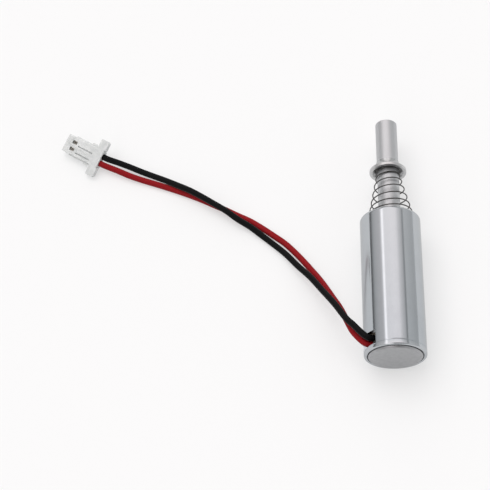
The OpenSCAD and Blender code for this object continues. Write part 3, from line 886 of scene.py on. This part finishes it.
@dataclass(frozen=True)
class Lead:
    """One insulated lead from its solder joint to its way of the plug.

    Attributes:
        way: which of the two ways it takes.
        route: centre line in millimetres; y is ahead of the rear rim.
        length: real length of the lead.
        diameter: diameter over the insulation.
        run: straight run behind the plug.
        inset: length inside the plug.
    """

    way: Way
    route: tuple[Point, ...]
    length: float
    diameter: float = 1.05 * MM
    run: float = 0.8 * MM
    inset: float = 1.2 * MM

    def centre_line(self, axis: Axis, plug: PlugFrame) -> list[Vector]:
        """Gives the lead's centre line in the row frame."""
        points = [Vector((x * MM, axis.rear + y * MM, z * MM)) for x, y, z in self.route]
        side = self.way.value * plug.pitch / 2
        points.append(plug.at(plug.length + self.run, side, plug.middle))
        points.append(plug.at(plug.length - self.inset, side, plug.middle))
        return smooth_path(points, 5)

    def build(self, axis: Axis, plug: PlugFrame) -> bpy.types.Object:
        """Builds and dresses the lead, and keeps its image off the bright can.

        Args:
            axis: the solenoid's axis.
            plug: the plug's place.

        Returns:
            The lead's piece.
        """
        mesh = bmesh.new()
        sweep(mesh, self.centre_line(axis, plug), self.thickness, 24)
        name = self.way.name.lower()
        piece = to_piece(mesh, f"lead_{name}_vinyl")
        finish = BLACK_VINYL if self.way is Way.BLACK else RED_VINYL
        slot = Slot.LEAD_BLACK if self.way is Way.BLACK else Slot.LEAD_RED
        piece.visible_glossy = False
        return dress(piece, finish, Body.STATOR, slot, f"lead_{name}")

    def declare(self, piece: bpy.types.Object, axis: Axis, plug: PlugFrame,
                housing: bpy.types.Object) -> None:
        """Args:
            piece: the lead's piece; not used.
            axis: the solenoid's axis.
            plug: the plug's place.
            housing: the plug's housing; not used.
        """
        line = self.centre_line(axis, plug)

    def thickness(self, along: float) -> float:
        """Gives the radius at a distance along the lead, which swells and thins a little."""
        wave = math.sin(along / (2.3 * MM)) + 0.6 * math.sin(along / (0.9 * MM) + 1.0)
        return self.diameter / 2 * (1 - 0.008 + 0.004 * wave)


BLACK_LEAD = Lead(Way.BLACK, (
    (-3.3, 2.3, 6.65), (-3.95, 2.3, 6.9), (-4.55, 2.4, 7.1), (-5.15, 2.8, 7.15),
    (-5.95, 3.65, 7.05), (-6.75, 4.7, 6.75), (-7.8, 6, 6.3), (-9.5, 9.25, 4.9),
    (-11.4, 12.4, 3.5), (-13.2, 15.3, 2.3), (-15.2, 17.85, 1.3), (-17.15, 20.3, 0.75),
    (-19.15, 22.2, 0.55), (-21.2, 23.9, 0.6), (-23.2, 25.4, 0.9), (-25.3, 26.6, 1.3),
    (-27.3, 28.05, 1.6), (-29.4, 29.4, 1.65), (-31.5, 30.75, 1.65), (-33.6, 32, 1.6),
    (-35.7, 33.05, 1.45), (-37.8, 34.15, 1.15), (-39.9, 35.1, 0.95), (-41.95, 35.95, 0.95),
    (-44.05, 36.75, 1.2), (-46.1, 37.4, 1.55)), length=62.5 * MM)
RED_LEAD = Lead(Way.RED, (
    (-3.65, 1.7, 5.72), (-4.25, 1.7, 5.82), (-4.85, 1.9, 5.88), (-5.4, 2.35, 5.87),
    (-6, 3.05, 5.75), (-6.8, 4.3, 5.45), (-7.7, 6.65, 4.8), (-8.5, 8.85, 4),
    (-9.5, 10.95, 3.2), (-11.3, 14.45, 2.1), (-13.2, 17.45, 1.25), (-15.15, 20.1, 0.75),
    (-17.15, 22.3, 0.55), (-19.15, 23.85, 0.55), (-21.2, 25.35, 0.55), (-23.2, 26.65, 0.55),
    (-25.3, 27.7, 0.55), (-27.3, 28.75, 0.55), (-29.4, 29.75, 0.55), (-31.5, 30.75, 0.55),
    (-33.6, 31.65, 0.55), (-35.7, 32.45, 0.55), (-37.8, 33.2, 0.55), (-39.9, 33.9, 0.55),
    (-42, 34.55, 0.62), (-44.1, 35.25, 0.8), (-46.2, 36.1, 1.05)), length=63 * MM)


@dataclass(frozen=True)
class Can:
    """The drawn steel can: round wall, drawn front edge, rolled rear lip, roll line, lead window.

    Attributes:
        wall: thickness of the wall.
        front_wall: thickness of the closed front.
        front_round: radius of the drawn edge.
        rear_round: radius of the rolled edge.
        lip: width of the rolled lip.
        lip_depth: depth of the rolled lip.
        flange_end: station where the trapped flange of the end disc ends.
        seat_wall: wall round the disc's seat.
        line_at: station of the line that rolling leaves.
        line_depth: depth of that line.
        line_half: half the width of that line.
        bush_radius: radius of the hole for the bushing.
        window: station of the window's rear edge and its length.
        window_angles: the window's edges in degrees from the top towards -X.
        window_round: radius of the window's corners.
        window_rows: rows of faces along the window.
        segments: faces round the can.
    """

    wall: float = 0.7 * MM
    front_wall: float = 0.8 * MM
    front_round: float = 0.6 * MM
    rear_round: float = 0.35 * MM
    lip: float = 0.5 * MM
    lip_depth: float = 0.45 * MM
    flange_end: float = 0.9 * MM
    seat_wall: float = 0.3 * MM
    line_at: float = 0.85 * MM
    line_depth: float = 0.05 * MM
    line_half: float = 0.1 * MM
    bush_radius: float = 2.52 * MM
    window: tuple[float, float] = (0.6 * MM, 2.4 * MM)
    window_angles: tuple[float, float] = (43.0, 95.0)
    window_round: float = 0.3 * MM
    window_rows: int = 48
    segments: int = 360

    def corners(self, radius: float, length: float) -> list[Corner]:
        """Gives the can's profile, with rows across the window on both faces of the wall."""
        start, span = self.window
        rows = [start + span * k / self.window_rows for k in range(self.window_rows + 1)]
        bore = radius - self.wall
        lip, seat = radius - self.lip, radius - self.seat_wall
        inner = length - self.front_wall
        return [(lip, 0.0, 0.07 * MM), (radius, 0.0, self.rear_round),
                *[(radius - self.sunk(s), s, 0.0) for s in rows],
                (radius, length, self.front_round),
                (self.bush_radius, length, 0.05 * MM), (self.bush_radius, inner, 0.0),
                (bore, inner, 0.2 * MM), *[(bore, s, 0.0) for s in reversed(rows)],
                (bore, self.flange_end, CRISP), (seat, self.flange_end, 0.0),
                (seat, self.lip_depth, 0.0), (lip, self.lip_depth, 0.05 * MM)]

    def sunk(self, station: float) -> float:
        """Gives how far the roll line sinks the can's surface at a station."""
        return self.line_depth * max(0.0, 1 - ((station - self.line_at) / self.line_half) ** 2)

    def build(self, axis: Axis) -> bpy.types.Object:
        """Builds and dresses the can.

        Args:
            axis: the solenoid's axis.

        Returns:
            The can's piece.
        """
        low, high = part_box("case")
        radius, length = (high.x - low.x) / 2, high.y - low.y
        profile = soften(self.corners(radius, length), closed=True, steps=6)
        start, span = self.window
        reach = 1.2 * self.line_depth
        outer, inner = (
            sorted((i for i, (r, s, _) in enumerate(profile) if 0 <= wall - r < reach
                    and start - 1e-9 < s < start + span + 1e-9), key=lambda i: profile[i][1])
            for wall in (radius, radius - self.wall))
        first, last = (round(a / 360 * self.segments) for a in self.window_angles)

        def in_window(i: int, k: int) -> bool:
            """Tells whether a face lies in the window."""
            n = (i + 1) % len(profile)
            return first <= k < last and any(i in rows and n in rows for rows in (outer, inner))

        mesh = bmesh.new()
        rings = turn(mesh, axis, profile, True, self.segments, in_window)
        loop = ([(0, k) for k in range(first, last)]
                + [(i, last) for i in range(len(outer) - 1)]
                + [(len(outer) - 1, k) for k in range(last, first, -1)]
                + [(i, first) for i in range(len(outer) - 1, 0, -1)])
        outside = [rings[outer[i]][k] for i, k in loop]
        inside = [rings[inner[i]][k] for i, k in loop]
        for (i, k), out, into in zip(loop, outside, inside):
            angle, station = self.rounded(2 * math.pi * k / self.segments, profile[outer[i]][1],
                                          radius)
            out.co = axis.at(radius - self.sunk(station), station, angle)
            into.co = axis.at(radius - self.wall, station, angle)
        for j in range(len(loop)):
            n = (j + 1) % len(loop)
            mesh.faces.new((outside[j], outside[n], inside[n], inside[j]))
        rims = [mesh.edges.get((side[j], side[(j + 1) % len(side)]))
                for side in (outside, inside) for j in range(len(side))]
        bmesh.ops.bevel(mesh, geom=rims, offset=0.05 * MM, segments=3, profile=0.5, affect="EDGES")
        return dress(to_piece(mesh, "can_shell"), CAN_PLATE, Body.STATOR, Slot.PLATED_STEEL, "case")

    def rounded(self, angle: float, station: float, radius: float) -> tuple[float, float]:
        """Pulls a point of the window's edge in to its rounded corners.

        Args:
            angle: the point's angle from the top, in radians.
            station: the point's station.
            radius: the can's radius.

        Returns:
            The new angle and station.
        """
        sides = [math.radians(a) for a in self.window_angles]
        start, span = self.window
        near_side = min(sides, key=lambda a: abs(a - angle))
        near_end = min((start, start + span), key=lambda s: abs(s - station))
        across, along = (angle - near_side) * radius, station - near_end
        size = self.window_round
        if abs(across) >= size or abs(along) >= size:
            return angle, station
        sign_across = 1.0 if near_side == sides[0] else -1.0
        sign_along = 1.0 if near_end == start else -1.0
        centre = Vector((sign_across * size, sign_along * size))
        moved = centre + (Vector((across, along)) - centre).normalized() * size
        return near_side + moved.x / radius, near_end + moved.y


@dataclass(frozen=True)
class EndDisc:
    """The steel disc that closes the can, with its raised face, trapped flange and centre mark.

    Attributes:
        face_radius: radius of the raised face.
        flange_radius: radius of the trapped flange.
        lip_depth: station where the flange starts.
        flange_end: station where the flange ends.
        spigot: radius and depth of the recess for the core's spigot.
        chamfer: chamfer round the face.
    """

    face_radius: float = 4.35 * MM
    flange_radius: float = 4.68 * MM
    lip_depth: float = 0.47 * MM
    flange_end: float = 0.9 * MM
    spigot: tuple[float, float] = (1.2 * MM, 0.4 * MM)
    chamfer: float = 0.25 * MM

    def build(self, axis: Axis) -> bpy.types.Object:
        """Builds and dresses the disc."""
        radius, depth = self.spigot
        face = axis.station(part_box("end_disc")[0].y)
        corners = [(0.0, face + 0.1 * MM, 0.0), (0.05 * MM, face + 0.09 * MM, 0.03 * MM),
                   (0.14 * MM, face, CRISP),
                   (self.face_radius - self.chamfer, face, SOFT),
                   (self.face_radius, face + self.chamfer, 0.06 * MM),
                   (self.face_radius, self.lip_depth, CRISP),
                   (self.flange_radius, self.lip_depth, CRISP),
                   (self.flange_radius, self.flange_end, CRISP),
                   (radius, self.flange_end, CRISP),
                   (radius, self.flange_end - depth, 0.0), (0.0, self.flange_end - depth, 0.0)]
        piece = turned_piece("end_disc_plate", axis, corners, False)
        return dress(piece, DISC_FACE, Body.STATOR, Slot.TURNED_STEEL, "end_disc")


@dataclass(frozen=True)
class Bushing:
    """The bronze bushing that carries the rod.

    Attributes:
        radius: outer radius.
        bore: radius of the bore.
        flange: width and thickness of its hidden flange.
    """

    radius: float = 2.5 * MM
    bore: float = 1.855 * MM
    flange: tuple[float, float] = (0.5 * MM, 0.4 * MM)

    def build(self, axis: Axis) -> bpy.types.Object:
        """Builds and dresses the bushing."""
        low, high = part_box("front_bushing")
        rear, front = axis.station(low.y), axis.station(high.y)
        width, thick = self.flange
        corners = [(self.bore, rear, EDGE), (self.radius + width, rear, EDGE),
                   (self.radius + width, rear + thick, EDGE),
                   (self.radius, rear + thick, CRISP), (self.radius, front, EDGE),
                   (self.bore, front, 0.1 * MM)]
        piece = turned_piece("bushing_sleeve", axis, corners, True, 128)
        return dress(piece, BUSH_BRONZE, Body.STATOR, Slot.BRONZE, "front_bushing")


@dataclass(frozen=True)
class Plunger:
    """Armature and rod in one piece, with the neck that the collar is pressed into.

    Attributes:
        rod: radius of the rod.
        armature: radius of the armature.
        nose: length, end radius and base radius of the armature's conical nose.
        armature_length: length of the armature in front of its nose.
        neck: depth of the neck under the collar.
        tip: chamfer round the tip.
    """

    rod: float = 1.825 * MM
    armature: float = 2.3 * MM
    nose: tuple[float, float, float] = (1.8 * MM, 1.0 * MM, 2.0 * MM)
    armature_length: float = 9.4 * MM
    neck: float = 0.2 * MM
    tip: float = 0.15 * MM

    def build(self, axis: Axis, dish: float) -> bpy.types.Object:
        """Builds and dresses the plunger, whose neck starts at the floor of the collar's dish."""
        low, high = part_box("plunger")
        collar_low, collar_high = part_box("collar")
        start, end = axis.station(low.y), axis.station(high.y)
        groove = axis.station(collar_low.y) + dish, axis.station(collar_high.y)
        length, end_radius, base_radius = self.nose
        base = start + length
        shoulder = base + self.armature_length
        corners = [(0.0, start, 0.0), (end_radius, start, SOFT), (base_radius, base, 0.03 * MM),
                   (self.armature - 0.1 * MM, base, CRISP),
                   (self.armature, base + 0.1 * MM, 0.05 * MM),
                   (self.armature, shoulder - 0.2 * MM, SOFT),
                   (self.armature - 0.2 * MM, shoulder, EDGE), (self.rod, shoulder, EDGE),
                   (self.rod, groove[0], 0.03 * MM), (self.rod - self.neck, groove[0], 0.03 * MM),
                   (self.rod - self.neck, groove[1], 0.03 * MM), (self.rod, groove[1], 0.03 * MM),
                   (self.rod, end - self.tip, 0.1 * MM), (self.rod - self.tip, end, 0.06 * MM),
                   (0.0, end, 0.0)]
        piece = turned_piece("plunger_rod", axis, corners, False)
        return dress(piece, ROD_STEEL, Body.ARMATURE, Slot.GROUND_STEEL, "plunger")


@dataclass(frozen=True)
class Collar:
    """The pressed collar: a dish over the spring's end, a thin rim, and a flare up to the rod.

    Attributes:
        rim: thickness of the rim.
        hub: radius of the hub where it meets the rod.
        bore: radius of the hole.
        dish: radius of the dish at the rim, radius of its floor, and its depth.
    """

    rim: float = 0.5 * MM
    hub: float = 1.925 * MM
    bore: float = 1.625 * MM
    dish: tuple[float, float, float] = (2.6 * MM, 2.075 * MM, 0.75 * MM)

    def build(self, axis: Axis) -> bpy.types.Object:
        """Builds and dresses the collar."""
        low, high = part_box("collar")
        rear, front = axis.station(low.y), axis.station(high.y)
        radius = (high.x - low.x) / 2
        width, height = radius - self.hub, front - rear - self.rim
        flare = [(radius - width * math.sin(a), rear + self.rim + height * (1 - math.cos(a)), 0.0)
                 for a in (math.pi / 2 * k / 16 for k in range(1, 17))]
        mouth, floor, depth = self.dish
        corners = [(self.bore, rear + depth, 0.0), (floor, rear + depth, 0.05 * MM),
                   (mouth, rear, SOFT), (radius, rear, 0.07 * MM),
                   (radius, rear + self.rim, SOFT), *flare, (self.bore, front, EDGE)]
        piece = turned_piece("collar_ring", axis, corners, True)
        return dress(piece, COLLAR_STEEL, Body.ARMATURE, Slot.TURNED_STEEL, "collar")


@dataclass(frozen=True)
class ReturnSpring:
    """The conical return spring, closed at both ends, small end in the collar's dish.

    Attributes:
        wire: diameter of the wire.
        small: mean radius at the collar.
        large: mean radius at the can.
        turns: number of turns.
        straight: length of the small end before the cone starts.
        start: angle at which the wire starts, in degrees from the top towards -X.
        aside: how far the large end sits to one side of the rod.
        lean: slope of the middle turns across the rod.
        play: how far the closed turns stand apart, as a share of the wire.
        steps: sections in one turn.
    """

    wire: float = 0.2 * MM
    small: float = 1.955 * MM
    large: float = 3.8 * MM
    turns: float = 8.4
    straight: float = 1.2 * MM
    start: float = 28.0
    aside: float = 0.25 * MM
    lean: float = 0.04
    play: float = 0.04
    steps: int = 40

    def path(self, axis: Axis, top: float, height: float) -> list[Vector]:
        """Gives the wire's centre line from the collar to the can.

        Args:
            axis: the solenoid's axis.
            top: station of the centre line at the collar.
            height: length of the centre line along the axis.

        Returns:
            The points of the centre line.
        """
        closed = self.turns * (1 + self.play) * self.wire / height
        rise = (self.large - self.small) / (height - self.straight)
        count = round(self.turns * self.steps)
        points = []
        for i in range(count + 1):
            t = i / count
            down = height * (closed * t + (1 - closed) * t * t * (3 - 2 * t))
            radius = max(self.small, self.large - rise * (height - down))
            angle = math.radians(self.start) + 2 * math.pi * self.turns * t
            dip = self.lean * radius * math.sin(angle) * math.sin(math.pi * down / height)
            point = axis.at(radius, top - down - dip, angle)
            point.x += self.aside * (down / height) ** 2
            points.append(point)
        return points

    def build(self, axis: Axis, dish: float) -> bpy.types.Object:
        """Builds and dresses the spring and gives it a mesh of its own.

        Args:
            axis: the solenoid's axis.
            dish: depth of the collar's dish.

        Returns:
            The spring's piece.
        """
        seat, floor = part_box("case")[1].y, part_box("collar")[0].y + dish
        gap = floor - seat
        mesh = bmesh.new()
        sweep(mesh, self.path(axis, axis.station(floor) - self.wire / 2, gap - self.wire),
              lambda _: self.wire / 2, 12)
        piece = to_piece(mesh, "spring_coil")
        dress(piece, SPRING_STEEL, Body.STATOR, Slot.SPRING_WIRE, "return_spring")
        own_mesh(piece)
        return piece


class Moulding:
    """A solid built of blocks that are joined and cut, in a frame of its own."""

    def __init__(self, name: str) -> None:
        """Starts with nothing joined yet."""
        self.name = name
        self.steps: list[tuple[str, bpy.types.Object]] = []

    def block(self, operation: str, low: Point, high: Point, rounding: float = 0.0) -> None:
        """Adds a block with rounded edges.

        Args:
            operation: UNION or DIFFERENCE.
            low: its lowest corner.
            high: its highest corner.
            rounding: radius of its edges.
        """
        mesh = bmesh.new()
        bmesh.ops.create_cube(mesh, size=1.0)
        for vert in mesh.verts:
            vert.co = Vector([a if c < 0 else b for c, a, b in zip(vert.co, low, high)])
        self.keep(operation, mesh, rounding)

    def prism(self, operation: str, outline: Sequence[tuple[float, float]], low: float,
              high: float, rounding: float = 0.0) -> None:
        """Adds an upright prism.

        Args:
            operation: UNION or DIFFERENCE.
            outline: corners of its outline.
            low: its bottom.
            high: its top.
            rounding: radius of its edges.
        """
        mesh = bmesh.new()
        bottom = [mesh.verts.new((x, y, low)) for x, y in outline]
        face = mesh.faces.new(bottom)
        top = bmesh.ops.extrude_face_region(mesh, geom=[face])["geom"]
        for vert in (v for v in top if isinstance(v, bmesh.types.BMVert)):
            vert.co.z = high
        self.keep(operation, mesh, rounding)

    def hole(self, start: Point, end: Point, radius: float) -> None:
        """Cuts a round hole between two points along x."""
        mesh = bmesh.new()
        bmesh.ops.create_cone(mesh, cap_ends=True, segments=40, radius1=radius, radius2=radius,
                              depth=end[0] - start[0])
        matrix = Matrix.Rotation(math.pi / 2, 4, "Y")
        middle = (Vector(start) + Vector(end)) / 2
        bmesh.ops.transform(mesh, matrix=Matrix.Translation(middle) @ matrix, verts=mesh.verts)
        self.keep("DIFFERENCE", mesh)

    def keep(self, operation: str, mesh: bmesh.types.BMesh, rounding: float = 0.0) -> None:
        """Rounds a block's edges and keeps it for bake()."""
        if rounding > 0:
            bmesh.ops.bevel(mesh, geom=list(mesh.edges), offset=rounding, segments=3, profile=0.5,
                            affect="EDGES")
        bmesh.ops.recalc_face_normals(mesh, faces=mesh.faces)
        data = bpy.data.meshes.new(f"{self.name}_block")
        mesh.to_mesh(data)
        mesh.free()
        piece = bpy.data.objects.new(data.name, data)
        bpy.context.scene.collection.objects.link(piece)
        self.steps.append((operation, piece))

    def bake(self, matrix: Matrix, edge: float) -> bpy.types.Object:
        """Joins and cuts the blocks and gives the solid fine rounded edges.

        Args:
            matrix: from the moulding's frame to the row frame.
            edge: radius of the edges that joining and cutting leaves.

        Returns:
            The finished piece.
        """
        body = self.steps[0][1]
        for operation, other in self.steps[1:]:
            modifier = body.modifiers.new("step", "BOOLEAN")
            modifier.operation, modifier.solver, modifier.object = operation, "EXACT", other
        bpy.context.view_layer.update()
        baked = bpy.data.meshes.new_from_object(
            body.evaluated_get(bpy.context.evaluated_depsgraph_get()))
        for _, other in self.steps:
            bpy.data.objects.remove(other)
        mesh = bmesh.new()
        mesh.from_mesh(baked)
        bmesh.ops.remove_doubles(mesh, verts=mesh.verts, dist=1e-7)
        bmesh.ops.dissolve_limit(mesh, angle_limit=math.radians(1), verts=mesh.verts,
                                 edges=mesh.edges)
        bmesh.ops.transform(mesh, matrix=matrix, verts=mesh.verts)
        piece = to_piece(mesh, self.name, 40.0)
        bevel = piece.modifiers.new("fine_edges", "BEVEL")
        bevel.width, bevel.segments, bevel.limit_method = edge, 2, "ANGLE"
        bevel.angle_limit = math.radians(40)
        piece.modifiers.move(len(piece.modifiers) - 1, 0)
        return piece


@dataclass(frozen=True)
class Plug:
    """The two-way nylon housing: nose, ribs, shoulders, wings, cavities, windows and grooves.

    Attributes:
        length: length from the nose to the rear face.
        nose: width of the nose.
        ribs: start and width of the guide ribs, then of the shoulders.
        wings: width over the wings, their length along the housing and their thickness.
        past: how far the wings reach past the rear face.
        thick: thickness of the housing.
        pitch: distance between the ways.
        cavity: width and height of each cavity.
        bore: radius of each wire entry.
        look: start, length and width of each contact window.
        slot: start, length, width and depth of each groove.
        slot_off: how far each groove sits below the middle of its way.
        back_wall: distance of the cavities from the rear face.
        entry: depth of each wire entry.
        rib_gap: distance of the ribs from the bottom and from the top.
        edges: edge radii of the nose, of the ribs and of the wings.
        fine_edge: radius of the edges that cutting leaves.
        over: how far a cut reaches past a face.
    """

    length: float = 7.1 * MM
    nose: float = 3.2 * MM
    ribs: tuple[tuple[float, float], ...] = ((1.4 * MM, 3.65 * MM), (4.5 * MM, 4.15 * MM))
    wings: tuple[float, float, float] = (6.7 * MM, 1.6 * MM, 1.05 * MM)
    past: float = 0.25 * MM
    thick: float = 1.9 * MM
    pitch: float = 1.25 * MM
    cavity: tuple[float, float] = (0.9 * MM, 1.1 * MM)
    bore: float = 0.55 * MM
    look: tuple[float, float, float] = (1.2 * MM, 0.9 * MM, 0.6 * MM)
    slot: tuple[float, float, float, float] = (2.5 * MM, 2.9 * MM, 0.2 * MM, 0.25 * MM)
    slot_off: float = 0.37 * MM
    back_wall: float = 0.5 * MM
    entry: float = 2.35 * MM
    rib_gap: float = 0.3 * MM
    edges: tuple[float, float, float] = (0.14 * MM, 0.12 * MM, 0.08 * MM)
    fine_edge: float = 0.035 * MM
    over: float = 0.5 * MM

    def outline(self) -> list[tuple[float, float]]:
        """Gives the outline of the bar of wings, seen from above."""
        width, deep, _ = self.wings
        half, corner, edge = width / 2, 0.3 * MM, 0.1 * MM
        inner, rear = self.nose / 2 + 0.05 * MM, self.length + self.past
        front = rear - deep
        side = [(front, half - edge), (front + edge, half), (rear - corner, half),
                (rear, half - corner), (rear, inner), (self.length, inner)]
        return [(x, -y) for x, y in side] + side[::-1]

    def build(self, plug: PlugFrame) -> bpy.types.Object:
        """Builds and dresses the housing.

        Args:
            plug: the plug's place.

        Returns:
            The housing's piece.
        """
        made = Moulding("plug_housing")
        length, top = self.length, self.thick
        _, deep, thin = self.wings
        nose_edge, rib_edge, wing_edge = self.edges
        made.block("UNION", (0, -self.nose / 2, 0), (length, self.nose / 2, top), nose_edge)
        for start, width in self.ribs:
            made.block("UNION", (start, -width / 2, self.rib_gap),
                       (length - deep / 2, width / 2, top - self.rib_gap), rib_edge)
        made.prism("UNION", self.outline(), top - thin, top, wing_edge)
        wide, tall = self.cavity
        start, run, gap, depth = self.slot
        look_at, look_run, look_wide = self.look
        for side in (-self.pitch / 2, self.pitch / 2):
            made.block("DIFFERENCE", (-self.over, side - wide / 2, plug.middle - tall / 2),
                       (length - self.back_wall, side + wide / 2, plug.middle + tall / 2))
            made.hole((length - self.entry, side, plug.middle),
                      (length + self.over, side, plug.middle), self.bore)
            made.block("DIFFERENCE", (look_at, side - look_wide / 2, plug.middle),
                       (look_at + look_run, side + look_wide / 2, top + 2 * self.over))
            low = side - self.slot_off - gap / 2
            made.block("DIFFERENCE", (start, low, top - depth),
                       (start + run, low + gap, top + 2 * self.over))
        piece = made.bake(plug.matrix(), self.fine_edge)
        return dress(piece, PLUG_NYLON, Body.STATOR, Slot.NYLON, "connector_housing")


@dataclass(frozen=True)
class Carried:
    """A CAD node that keeps its own solid and gets a finish.

    Attributes:
        node: the node's name.
        finish: its finish.
        slot: the record's material slot.
    """

    node: str
    finish: Finish
    slot: Slot

    def dress(self) -> None:
        """Gives the node its finish."""
        piece = frame["nodes"][self.node]
        piece.data.materials.clear()
        piece.data.materials.append(self.finish.material())
        LOG.info("dressed %s in %s", self.node, self.finish.name)


INNER_NODES = (
    Carried("fibre_washer", WASHER_FIBRE, Slot.FIBRE),
    Carried("fixed_core", POLE_STEEL, Slot.TURNED_STEEL),
    Carried("residual_shim", TUBE_BRASS, Slot.BRASS),
    Carried("bobbin", BOBBIN_NYLON, Slot.BOBBIN),
    Carried("coil_winding", COIL_WIRE, Slot.COPPER),
    Carried("winding_tape", COIL_TAPE, Slot.TAPE),
    Carried("guide_tube", TUBE_BRASS, Slot.BRASS),
    Carried("insulating_ring", WASHER_FIBRE, Slot.FIBRE),
    Carried("front_pole_ring", POLE_STEEL, Slot.TURNED_STEEL),
    Carried("coil_pins", PIN_TIN, Slot.TINNED_PIN),
    Carried("solder_joints", JOINT_SOLDER, Slot.SOLDER),
    Carried("terminal_black", CONTACT_TIN, Slot.CONTACT),
    Carried("terminal_red", CONTACT_TIN, Slot.CONTACT),
)


def main() -> None:
    """Builds the studio, the leads and every sub-assembly in order."""
    logging.basicConfig(level=logging.INFO, format="%(message)s")
    bpy.context.scene.view_settings.view_transform = "Standard"
    studio = Studio()
    studio.camera()
    axis, moulding, collar = Axis.of_case(), Plug(), Collar()
    plug = PlugFrame.of_record(moulding)
    leads = [(lead, lead.build(axis, plug)) for lead in (BLACK_LEAD, RED_LEAD)]
    housing = moulding.build(plug)
    for lead, piece in leads:
        lead.declare(piece, axis, plug, housing)
    studio.surroundings()
    studio.light()
    studio.table()
    for part in (Can(), EndDisc(), Bushing()):
        part.build(axis)
    dish = collar.dish[2]
    Plunger().build(axis, dish)
    collar.build(axis)
    ReturnSpring().build(axis, dish)
    for carried in INNER_NODES:
        carried.dress()


if __name__ == "__main__":
    main()
